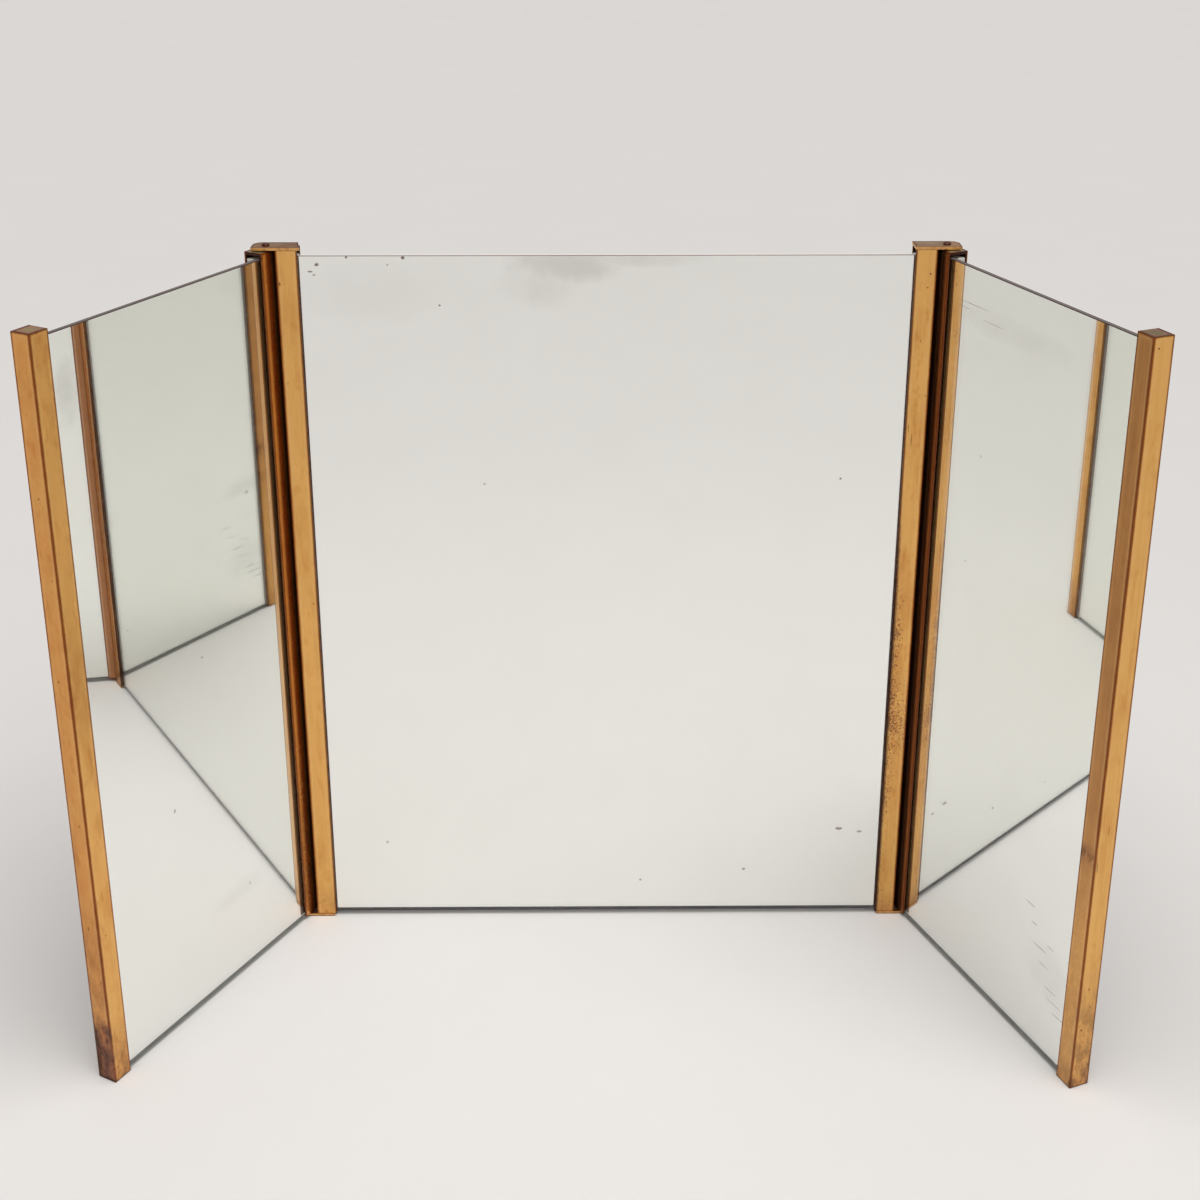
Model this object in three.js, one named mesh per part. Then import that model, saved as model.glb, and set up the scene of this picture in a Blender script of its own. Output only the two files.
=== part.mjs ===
// Three panel floor mirror: a fixed centre panel and two wings hinged to its
// sides. Each panel is a mirror glass held between two upright brass channels.
// Flat brass plates at the top and bottom of the centre channels reach out over
// the wings' inner channels, and an upright pin through each plate carries the
// wing. Millimetres, +Z up, the mirror faces look towards -Y.
import * as THREE from 'three';

// ---- driving dimensions --------------------------------------------------
const HEIGHT = 800;            // floor to the top face of the hinge plates
const CENTRE_WIDTH = 674;      // outer side to outer side of the centre channels
const SECTION = 22.5;          // every upright is a square section of this size
const WALL = 1.8;              // wall of the upright channels
const WING_CLEAR = 296;        // glass seen between a wing's two uprights
const GLASS_T = 6;             // mirror glass
const BOARD_T = 3;             // hardboard behind the glass
const GLASS_H = 786;           // height of all three glasses
const GLASS_IN = 12;           // how far each glass edge sits in its channel
const CENTRE_GLASS_Z = 4.9;    // underside of the centre glass
const WING_GLASS_Z = 3.6;      // underside of the wing glasses, just clear of the lower plates
const BOARD_LOW = 6;           // how far the boards' tops are below the glasses'
const PLATE_T = 3;             // hinge plates, and the caps let into the wing channels' ends
const PLATE_FRONT = -0.5;      // front edge of the hinge plates
const PLATE_DEPTH = 24;
const PLATE_REACH = 24.5;      // hinge plate beyond the centre channel's side
const PLATE_CORNER_R = 10;     // rounded outer back corner of the hinge plates
const PLATE_SHORT = 2.2;       // lower plates stop this far short of the channel's open side
const SAWN_SKEW = 2.4;         // left top plate: inner end out of square, each way
const PIVOT_X = 347.5;         // hinge pin from the middle of the centre panel
const PIVOT_Y = 10.5;          // hinge pin behind the centre channel's front face
const PIVOT_FROM_WEB = 5;      // hinge pin inside the wing channel's web face
const PIVOT_FROM_FACE = 8.5;   // hinge pin behind the wing channel's front face
const PIN_R = 2;
const PIN_HEAD_R = 4.4;
const PIN_HEAD_H = 2;
const PLATE_HOLE_R = 2.15;     // running clearance round the turning pin
const FIXED_HOLE_R = 2.2;      // holes in the pieces that turn with the pin
const WASHER_R = 5;
const WASHER_T = 0.7;
const GAP = 0.3;               // joint line between touching pieces
const LEFT_OPEN = 119.0;       // angle between centre and left mirror faces
const RIGHT_OPEN = 112.4;      // angle between centre and right mirror faces

// ---- materials -----------------------------------------------------------
const mat = (color, roughness, metalness) =>
  new THREE.MeshStandardMaterial({ color, roughness, metalness });
const BRASS = mat(0xb8823f, 0.38, 1.0);
const BRASS_PLATE = mat(0x8d6a48, 0.45, 1.0);
const BRASS_PIN = mat(0x6e3f2c, 0.45, 1.0);
const MIRROR = mat(0xdfe4de, 0.03, 1.0);
const BOARD = mat(0x4a352a, 0.85, 0.0);
const WOOD = mat(0xb6a184, 0.8, 0.0);
const RUBBER = mat(0x2c2a28, 0.9, 0.0);

// ---- outlines ------------------------------------------------------------
// A closed polygon whose corners are rounded, each by its own radius.
function rounded(points, radii, steps = 4) {
  const out = [];
  const n = points.length;
  for (let i = 0; i < n; i++) {
    const [px, py] = points[i];
    const r = Array.isArray(radii) ? radii[i] : radii;
    if (!r) { out.push(new THREE.Vector2(px, py)); continue; }
    const a = new THREE.Vector2(...points[(i + n - 1) % n]).sub(new THREE.Vector2(px, py)).normalize();
    const b = new THREE.Vector2(...points[(i + 1) % n]).sub(new THREE.Vector2(px, py)).normalize();
    const half = Math.acos(THREE.MathUtils.clamp(a.dot(b), -1, 1)) / 2;
    const t = r / Math.tan(half);
    const c = a.clone().add(b).normalize().multiplyScalar(r / Math.sin(half)).add(new THREE.Vector2(px, py));
    const s = a.clone().multiplyScalar(t).add(new THREE.Vector2(px, py)).sub(c);
    const e = b.clone().multiplyScalar(t).add(new THREE.Vector2(px, py)).sub(c);
    const a0 = Math.atan2(s.y, s.x);
    let da = Math.atan2(e.y, e.x) - a0;
    while (da > Math.PI) da -= 2 * Math.PI;
    while (da < -Math.PI) da += 2 * Math.PI;
    for (let k = 0; k <= steps; k++) {
      const q = a0 + (da * k) / steps;
      out.push(new THREE.Vector2(c.x + r * Math.cos(q), c.y + r * Math.sin(q)));
    }
  }
  return out;
}

function shapeOf(points, holes = []) {
  const outline = points.map((p) => (p.isVector2 ? p : new THREE.Vector2(...p)));
  if (THREE.ShapeUtils.isClockWise(outline)) outline.reverse();
  const shape = new THREE.Shape(outline);
  for (const [x, y, r] of holes) {
    const ring = [];
    for (let k = 0; k < 32; k++) {
      const q = (k / 32) * 2 * Math.PI;
      ring.push(new THREE.Vector2(x + r * Math.cos(q), y - r * Math.sin(q)));
    }
    shape.holes.push(new THREE.Path(ring));
  }
  return shape;
}

// An upright prism of a plan outline between two heights.
function upright(shape, z0, z1) {
  const g = new THREE.ExtrudeGeometry(shape, { depth: z1 - z0, bevelEnabled: false });
  g.translate(0, 0, z0);
  return g;
}

const rect = (x0, x1, y0, y1) => [
  [Math.min(x0, x1), y0], [Math.max(x0, x1), y0], [Math.max(x0, x1), y1], [Math.min(x0, x1), y1],
];

// Plan of a channel: web at xWeb, open towards xOpen, front face at y0.
function channel(xWeb, xOpen, y0, y1) {
  const s = Math.sign(xOpen - xWeb);
  const pts = [
    [xOpen, y0], [xWeb, y0], [xWeb, y1], [xOpen, y1],
    [xOpen, y1 - WALL], [xWeb + s * WALL, y1 - WALL], [xWeb + s * WALL, y0 + WALL], [xOpen, y0 + WALL],
  ];
  const radii = [0.3, 0.6, 0.6, 0.3, 0.3, 0, 0, 0.3];
  return shapeOf(rounded(pts, radii, 3));
}

function add(group, name, geometry, material) {
  const mesh = new THREE.Mesh(geometry, material);
  mesh.name = name;
  group.add(mesh);
  return mesh;
}

// ---- levels --------------------------------------------------------------
const plateTop = HEIGHT;
const plateUnder = HEIGHT - PLATE_T;
const capTop = plateUnder - GAP - WASHER_T - GAP;          // top face of the wing caps
const footTop = PLATE_T;                                   // top face of the lower plates
const lowCapUnder = footTop + GAP + WASHER_T + GAP;        // underside of the wing's lower cap
const half = CENTRE_WIDTH / 2;

const model = new THREE.Group();

// ---- centre panel --------------------------------------------------------
const centre = new THREE.Group();
model.add(centre);
const yFlange = WALL + GAP;                                // glass face behind the front wall
const yBoard = yFlange + GLASS_T + GAP;
const yPack = yBoard + BOARD_T + GAP;
const packBack = SECTION - WALL - GAP;
const cg = half - SECTION + GLASS_IN;                      // centre glass half width

add(centre, 'centre_mirror_glass',
  upright(shapeOf(rounded(rect(-cg, cg, yFlange, yFlange + GLASS_T), 0.4, 2)), CENTRE_GLASS_Z, CENTRE_GLASS_Z + GLASS_H), MIRROR);
add(centre, 'centre_backing_board',
  upright(shapeOf(rounded(rect(-cg, cg, yBoard, yBoard + BOARD_T), 0)), CENTRE_GLASS_Z, CENTRE_GLASS_Z + GLASS_H - BOARD_LOW), BOARD);

for (const [side, s] of [['left', -1], ['right', 1]]) {
  const xo = s * half, xi = s * (half - SECTION);
  add(centre, `${side}_centre_post`,
    upright(channel(xo, xi, 0, SECTION), footTop + GAP, plateUnder - GAP), BRASS);

  // Hinge plates: square at the front and inner corners, rounded at the back.
  // The left top plate's inner end was sawn a little out of square.
  const pi = s * (half - SECTION), po = s * (half + PLATE_REACH);
  const outline = (skew, short) => rounded(
    [[pi - s * (0.5 + skew - short), PLATE_FRONT], [po, PLATE_FRONT], [po, PLATE_FRONT + PLATE_DEPTH],
      [pi - s * (0.5 - skew - short), PLATE_FRONT + PLATE_DEPTH]],
    [0.6, 0.8, PLATE_CORNER_R, 0.6], 8);
  const hole = [[s * PIVOT_X, PIVOT_Y, PLATE_HOLE_R]];
  add(centre, `${side}_top_hinge_plate`, upright(shapeOf(outline(s < 0 ? SAWN_SKEW : 0, 0), hole), plateUnder, plateTop), BRASS_PLATE);
  add(centre, `${side}_bottom_hinge_plate`, upright(shapeOf(outline(0, PLATE_SHORT + 0.5), hole), 0, footTop), BRASS_PLATE);

  const ring = (r) => Array.from({ length: 32 }, (_, k) => new THREE.Vector2(
    s * PIVOT_X + r * Math.cos((k / 32) * 2 * Math.PI), PIVOT_Y + r * Math.sin((k / 32) * 2 * Math.PI)));
  add(centre, `${side}_top_hinge_washer`,
    upright(shapeOf(ring(WASHER_R), hole), capTop + GAP, capTop + GAP + WASHER_T), BRASS_PLATE);
  add(centre, `${side}_bottom_hinge_washer`,
    upright(shapeOf(ring(WASHER_R), hole), footTop + GAP, footTop + GAP + WASHER_T), BRASS_PLATE);

  // What holds the glass in the channel: a strip behind it and a block under it.
  const xPackIn = xo - s * (WALL + 1), xPackOut = xi + s * 0.8;
  add(centre, `centre_${side}_packing_strip`,
    upright(shapeOf(rounded(rect(xPackIn, xPackOut, yPack, packBack), 0)), CENTRE_GLASS_Z + 2, CENTRE_GLASS_Z + GLASS_H - 2), WOOD);
  add(centre, `centre_${side}_setting_block`,
    upright(shapeOf(rounded(rect(s * (cg - 1), xi + s * 1.5, yFlange, yBoard + BOARD_T), 0.3, 2)),
      footTop + GAP, CENTRE_GLASS_Z - GAP), RUBBER);
}

// ---- wings ---------------------------------------------------------------
// Each wing is drawn laid flat beside the centre panel with its pin at the
// group's origin, then the group turns to the angle the wing stands at.
function wing(side, s, openAngle) {
  const g = new THREE.Group();
  g.position.set(s * PIVOT_X, PIVOT_Y, 0);
  g.rotation.z = -s * THREE.MathUtils.degToRad(180 - openAngle);
  model.add(g);

  const f = -PIVOT_FROM_FACE;                              // front face
  const b = f + SECTION;
  const hWeb = -s * PIVOT_FROM_WEB, hOpen = s * (SECTION - PIVOT_FROM_WEB);
  const oOpen = s * (SECTION - PIVOT_FROM_WEB + WING_CLEAR), oWeb = oOpen + s * SECTION;
  const zLow = lowCapUnder + PLATE_T + GAP, zTop = capTop - PLATE_T - GAP;

  // Inner upright. Its caps are let into the channel's ends: the upper one
  // closes the whole section, the lower one only the part beside the glass.
  add(g, `${side}_wing_hinge_post`, upright(channel(hWeb, hOpen, f, b), lowCapUnder, capTop), BRASS);
  const bx0 = -s * (PIVOT_FROM_WEB - WALL - GAP), bx1 = s * (SECTION - PIVOT_FROM_WEB - GLASS_IN - GAP);
  const capPlan = (x0, x1) => rounded(rect(x0, x1, f + WALL + GAP, b - WALL - GAP), 0.4, 2);
  const hole = [[0, 0, FIXED_HOLE_R]];
  add(g, `${side}_wing_top_cap`, upright(shapeOf(capPlan(bx0, hOpen), hole), capTop - PLATE_T, capTop), BRASS_PLATE);
  add(g, `${side}_wing_bottom_cap`, upright(shapeOf(capPlan(bx0, bx1), hole), lowCapUnder, lowCapUnder + PLATE_T), BRASS_PLATE);

  // End blocks and pins.
  const blockPlan = () => rounded(rect(bx0, bx1, f + WALL + GAP, b - WALL - GAP), 0.4, 2);
  const blockH = 25;
  add(g, `${side}_top_pin_block`, upright(shapeOf(blockPlan(), hole), zTop - blockH, zTop - 0.1), BRASS);
  add(g, `${side}_bottom_pin_block`, upright(shapeOf(blockPlan(), hole), zLow + 0.1, zLow + blockH), BRASS);

  // Upper pin: a low domed head on the plate. Lower pin: flush in the plate.
  const z1 = plateTop + GAP;
  const head = [
    [0, zTop - blockH + 3], [PIN_R - 0.5, zTop - blockH + 3], [PIN_R, zTop - blockH + 3.5], [PIN_R, z1],
    [PIN_HEAD_R - 0.3, z1], [PIN_HEAD_R, z1 + 0.3], [PIN_HEAD_R, z1 + 0.8],
    [PIN_HEAD_R * 0.86, z1 + 1.4], [PIN_HEAD_R * 0.55, z1 + 1.85], [0, z1 + PIN_HEAD_H],
  ].map(([r, z]) => new THREE.Vector2(r, z));
  const top = new THREE.LatheGeometry(head, 32);
  top.rotateX(Math.PI / 2);
  add(g, `${side}_top_hinge_pin`, top, BRASS_PIN);
  const shank = [
    [0, 0.4], [PIN_R, 0.4], [PIN_R, zLow + blockH - 3.5], [PIN_R - 0.5, zLow + blockH - 3], [0, zLow + blockH - 3],
  ].map(([r, z]) => new THREE.Vector2(r, z));
  const low = new THREE.LatheGeometry(shank, 32);
  low.rotateX(Math.PI / 2);
  add(g, `${side}_bottom_hinge_pin`, low, BRASS_PIN);

  // Outer upright, which stands on the floor, with caps let into both ends.
  add(g, `${side}_wing_outer_post`, upright(channel(oWeb, oOpen, f, b), 0, capTop), BRASS);
  const outerPlan = () => capPlan(oOpen, oWeb - s * (WALL + GAP));
  add(g, `${side}_outer_post_top_cap`, upright(shapeOf(outerPlan()), capTop - PLATE_T, capTop), BRASS_PLATE);
  add(g, `${side}_outer_post_foot`, upright(shapeOf(outerPlan()), 0, PLATE_T), BRASS_PLATE);

  // Mirror glass, which stands on the outer upright's foot, board and packing.
  const gx0 = hOpen - s * GLASS_IN, gx1 = oOpen + s * GLASS_IN;
  const yG = f + WALL + GAP, yB = yG + GLASS_T + GAP, yP = yB + BOARD_T + GAP, yPe = b - WALL - GAP;
  add(g, `${side}_wing_mirror_glass`,
    upright(shapeOf(rounded(rect(gx0, gx1, yG, yG + GLASS_T), 0.4, 2)), WING_GLASS_Z, WING_GLASS_Z + GLASS_H), MIRROR);
  add(g, `${side}_wing_backing_board`,
    upright(shapeOf(rounded(rect(gx0, gx1, yB, yB + BOARD_T), 0)), WING_GLASS_Z, WING_GLASS_Z + GLASS_H - BOARD_LOW), BOARD);
  add(g, `${side}_wing_hinge_packing_strip`,
    upright(shapeOf(rounded(rect(bx1 + s * GAP, hOpen - s * 0.8, yP, yPe), 0)), WING_GLASS_Z + 2, WING_GLASS_Z + GLASS_H - 1), WOOD);
  add(g, `${side}_wing_outer_packing_strip`,
    upright(shapeOf(rounded(rect(oOpen + s * 0.8, oWeb - s * (WALL + 1), yP, yPe), 0)), WING_GLASS_Z + 2, WING_GLASS_Z + GLASS_H - 1), WOOD);
}
wing('left', -1, LEFT_OPEN);
wing('right', 1, RIGHT_OPEN);

// ---- reference point: middle of the footprint, on the floor --------------
model.updateMatrixWorld(true);
const box = new THREE.Box3().setFromObject(model, true);
model.position.set(-(box.min.x + box.max.x) / 2, -(box.min.y + box.max.y) / 2, 0);

export default model;
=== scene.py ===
import math
import bpy
import bmesh
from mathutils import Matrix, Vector, noise
from mathutils.geometry import delaunay_2d_cdt


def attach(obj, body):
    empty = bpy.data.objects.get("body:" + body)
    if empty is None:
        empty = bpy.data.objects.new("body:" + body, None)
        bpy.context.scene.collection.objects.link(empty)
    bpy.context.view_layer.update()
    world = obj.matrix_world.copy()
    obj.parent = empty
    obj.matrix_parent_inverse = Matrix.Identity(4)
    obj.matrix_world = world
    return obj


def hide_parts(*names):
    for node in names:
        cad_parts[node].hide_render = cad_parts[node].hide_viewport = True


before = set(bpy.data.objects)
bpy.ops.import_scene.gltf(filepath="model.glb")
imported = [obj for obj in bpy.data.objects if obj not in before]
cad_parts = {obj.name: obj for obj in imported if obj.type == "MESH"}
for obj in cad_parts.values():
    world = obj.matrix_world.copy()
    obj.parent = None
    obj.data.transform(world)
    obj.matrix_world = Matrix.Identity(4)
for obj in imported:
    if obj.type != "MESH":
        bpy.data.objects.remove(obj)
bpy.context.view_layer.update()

# ---------------------------------------------------------------- dimensions, mm, as in the construction
OX, OY = 17.065155, 139.848963        # middle of the footprint from the middle of the centre panel
PIV_X, PIV_Y = 347.5, 10.5            # hinge pins
TURN = {"c": 0.0, "l": math.radians(61.0), "r": -math.radians(67.6)}
SGN = {"l": -1.0, "r": 1.0}
BODY = {"c": "centre_panel", "l": "left_wing", "r": "right_wing"}
SEC, WALL = 22.5, 1.8
HALF = 337.0
F0, B0 = -8.5, 14.0                   # a wing channel's front and back faces
WEB_H, OPEN_H = -5.0, 17.5            # wing's inner channel, along the wing
OPEN_O, WEB_O = 313.5, 336.0          # wing's outer channel, along the wing


def to_row(where, p):
    """A point of the centre panel, or of a wing laid flat beside it, in mm, to the row frame in metres."""
    x, y, z = p
    if where != "c":
        c, s = math.cos(TURN[where]), math.sin(TURN[where])
        x, y = SGN[where] * PIV_X + x * c - y * s, PIV_Y + x * s + y * c
    return Vector(((x + OX) / 1000.0, (y + OY) / 1000.0, z / 1000.0))


# ---------------------------------------------------------------- mesh helpers
def poly_normals(pts):
    """Outward unit normals of a closed counter-clockwise polygon at its corners."""
    out = []
    n = len(pts)
    for i in range(n):
        a, b, c = pts[i - 1], pts[i], pts[(i + 1) % n]
        d1 = Vector((b[0] - a[0], b[1] - a[1]))
        d2 = Vector((c[0] - b[0], c[1] - b[1]))
        if d1.length < 1e-9:
            d1 = d2
        if d2.length < 1e-9:
            d2 = d1
        n1 = Vector((d1.y, -d1.x)).normalized()
        n2 = Vector((d2.y, -d2.x)).normalized()
        m = n1 + n2
        if m.length < 1e-6:
            m = n1
        m.normalize()
        out.append(m / max(0.5, m.dot(n1)))
    return out


def area2(pts):
    return sum(pts[i - 1][0] * pts[i][1] - pts[i][0] * pts[i - 1][1] for i in range(len(pts)))


def round_corners(pts, radii, steps=4):
    out = []
    n = len(pts)
    for i, (px, py) in enumerate(pts):
        r = radii[i] if isinstance(radii, (list, tuple)) else radii
        if r <= 0:
            out.append((px, py))
            continue
        a = Vector(pts[i - 1]) - Vector((px, py))
        b = Vector(pts[(i + 1) % n]) - Vector((px, py))
        a.normalize()
        b.normalize()
        half = math.acos(max(-1.0, min(1.0, a.dot(b)))) / 2
        t = r / math.tan(half)
        c = Vector((px, py)) + (a + b).normalized() * (r / math.sin(half))
        s = Vector((px, py)) + a * t - c
        e = Vector((px, py)) + b * t - c
        a0 = math.atan2(s.y, s.x)
        da = math.atan2(e.y, e.x) - a0
        while da > math.pi:
            da -= 2 * math.pi
        while da < -math.pi:
            da += 2 * math.pi
        for k in range(steps + 1):
            q = a0 + da * k / steps
            out.append((c.x + r * math.cos(q), c.y + r * math.sin(q)))
    return out


def seg_dist(p, a, b):
    ax, ay, bx, by = a[0], a[1], b[0], b[1]
    dx, dy = bx - ax, by - ay
    l2 = dx * dx + dy * dy
    t = 0.0 if l2 == 0 else max(0.0, min(1.0, ((p[0] - ax) * dx + (p[1] - ay) * dy) / l2))
    return math.hypot(p[0] - ax - t * dx, p[1] - ay - t * dy)


def border(p, loop):
    return min(seg_dist(p, loop[i - 1], loop[i]) for i in range(len(loop)))


def inside(p, loop):
    hit = False
    for i in range(len(loop)):
        (x1, y1), (x2, y2) = loop[i - 1], loop[i]
        if (y1 > p[1]) != (y2 > p[1]) and p[0] < (x2 - x1) * (p[1] - y1) / (y2 - y1) + x1:
            hit = not hit
    return hit


def piece(name, where, verts, faces, mats, body=None, slot=None, replaces=(), face_mats=None, attrs=None, smooth=True):
    """Makes the object. verts are in mm in the panel's own frame, which the materials also read as "loc"."""
    me = bpy.data.meshes.new(name)
    me.from_pydata([to_row(where, v) for v in verts], [], faces)
    loc = me.attributes.new("loc", "FLOAT_VECTOR", "POINT")
    for i, v in enumerate(verts):
        loc.data[i].vector = v
    for key, values in (attrs or {}).items():
        a = me.attributes.new(key, "FLOAT", "POINT")
        a.data.foreach_set("value", values)
    for m in mats:
        me.materials.append(m)
    if face_mats:
        me.polygons.foreach_set("material_index", face_mats)
    bm = bmesh.new()
    bm.from_mesh(me)
    bmesh.ops.recalc_face_normals(bm, faces=bm.faces)
    bm.to_mesh(me)
    bm.free()
    if smooth:
        me.polygons.foreach_set("use_smooth", [True] * len(me.polygons))
        me.set_sharp_from_angle(angle=math.radians(38))
    me.update()
    ob = bpy.data.objects.new(name, me)
    bpy.context.scene.collection.objects.link(ob)
    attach(ob, body or BODY[where])
    if replaces:
        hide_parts(*([replaces] if isinstance(replaces, str) else replaces))
    return ob


def wob(p, seed, scale, amount):
    return amount * noise.noise(Vector((p[0] * scale + seed * 7.13, p[1] * scale - seed * 3.7, p[2] * scale + seed)))


def long_prism(name, where, loop, z0, z1, mats, seed=0, bevel=0.25, step=12.0, wobble=0.06, paint=None, ends=1.0, paler=0.0, **kw):
    """A long upright bar of a closed plan outline, with its ends' arrises broken, faces a little uneven.
    loop: list of (x, y, edge, tone), the tone being painted shade, a lightness per face; paint gives (stain, speck,
    dirt_and_shade) at a point."""
    if area2([(p[0], p[1]) for p in loop]) < 0:
        loop = loop[::-1]
    pts = [(p[0], p[1]) for p in loop]
    nrm = poly_normals(pts)
    n = len(loop)
    levels = [(z0, bevel), (z0 + bevel * 0.35, bevel * 0.35), (z0 + bevel, 0.0), (z0 + 1.2, 0.0), (z0 + 2.5, 0.0)]
    k = max(2, int((z1 - z0 - 8) / step))
    levels += [(z0 + 4 + (z1 - z0 - 8) * i / k, 0.0) for i in range(k + 1)]
    levels += [(z1 - 2.5, 0.0), (z1 - 1.2, 0.0), (z1 - bevel, 0.0), (z1 - bevel * 0.35, bevel * 0.35), (z1, bevel)]
    verts, edge, tone, marks = [], [], [], []
    for z, inset in levels:
        for i, p in enumerate(loop):
            x, y = p[0] - nrm[i].x * inset, p[1] - nrm[i].y * inset
            if wobble:
                # only ever inwards, so nothing grows towards its neighbour
                d = (0.5 + 0.5 * noise.noise(Vector((x * 0.05 + seed * 5.1, y * 0.05, z * 0.011 + seed)))
                     ) * wobble + (0.5 + 0.5 * noise.noise(Vector((x * 0.11, y * 0.11 + seed, z * 0.05 - seed)))) * wobble * 0.5
                d *= min(1.0, p[2] / 1.2)
                x, y = x - nrm[i].x * d, y - nrm[i].y * d
            verts.append((x, y, z))
            edge.append(min(p[2], (z - z0) + 9.0 * (1.0 - ends), (z1 - z) + 9.0 * (1.0 - ends)))
            low = max(0.0, min(1.0, (300.0 - z) / 220.0))
            # tone is painted shade; paler lifts it towards the foot, lighter below 300 mm, inside faces excepted
            tone.append(p[3] if p[3] > 0.95 else max(0.0, p[3] - paler * low))
            marks.append(paint(x, y, z) if paint else (0.0, 0.0, 0.0))
    faces, fm = [], []
    for r in range(len(levels) - 1):
        for i in range(n):
            j = (i + 1) % n
            faces.append((r * n + i, r * n + j, (r + 1) * n + j, (r + 1) * n + i))
            # inside faces, tone near 1, take the second material: brass darkened to near-black as painted shade
            fm.append(1 if len(mats) > 1 and (loop[i][2] > 8 or loop[j][2] > 8) and tone[i] > 0.9 else 0)
    faces.append(tuple(range(n - 1, -1, -1)))
    top = (len(levels) - 1) * n
    faces.append(tuple(range(top, top + n)))
    fm += [0, 0]
    return piece(name, where, verts, faces, mats, face_mats=fm, attrs={
        "edge": edge, "tone": tone, "stain": [m[0] for m in marks], "speck": [m[1] for m in marks], "dirt_and_shade": [m[2] for m in marks]}, **kw)


def channel_loop(x_web, x_open, y0, y1, tones):
    """Dense plan of a channel. tones: front, web, back, inside; they are painted shade, a lightness per face, the
    inside darkest.
    """
    s = 1.0 if x_open > x_web else -1.0
    w = WALL
    corners = [(x_open, y0), (x_web, y0), (x_web, y1), (x_open, y1),
               (x_open, y1 - w), (x_web + s * w, y1 - w), (x_web + s * w, y0 + w), (x_open, y0 + w)]
    radii = [0.35, 0.75, 0.75, 0.35, 0.3, 0.0, 0.0, 0.3]
    kinds = [tones[0], tones[1], tones[2], tones[2], tones[3], tones[3], tones[3], tones[0]]
    rounded, start = [], []
    for i in range(8):
        seg = round_corners([corners[i - 1], corners[i], corners[(i + 1) % 8]], [0, radii[i], 0], 4)[1:-1]
        rounded.append(seg)
    loop = []
    for i in range(8):
        t_in, t_out = kinds[i - 1], kinds[i]
        seg = rounded[i]
        for k, p in enumerate(seg):
            f = k / max(1, len(seg) - 1)
            e = 0.0 if i in (0, 1, 2, 3) else (0.3 if i in (4, 7) else 9.0)
            loop.append((p[0], p[1], e, t_in + (t_out - t_in) * f))
        a, b = seg[-1], rounded[(i + 1) % 8][0]
        length = math.hypot(b[0] - a[0], b[1] - a[1])
        m = int(length / 1.9)
        outer = i in (0, 1, 2)
        for k in range(1, m):
            f = k / m
            p = (a[0] + (b[0] - a[0]) * f, a[1] + (b[1] - a[1]) * f)
            if outer:
                e = min(f, 1 - f) * length
            elif i in (3, 7):
                e = 0.3
            else:
                e = 9.0
            loop.append((p[0], p[1], e, t_out))
    return loop


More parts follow.
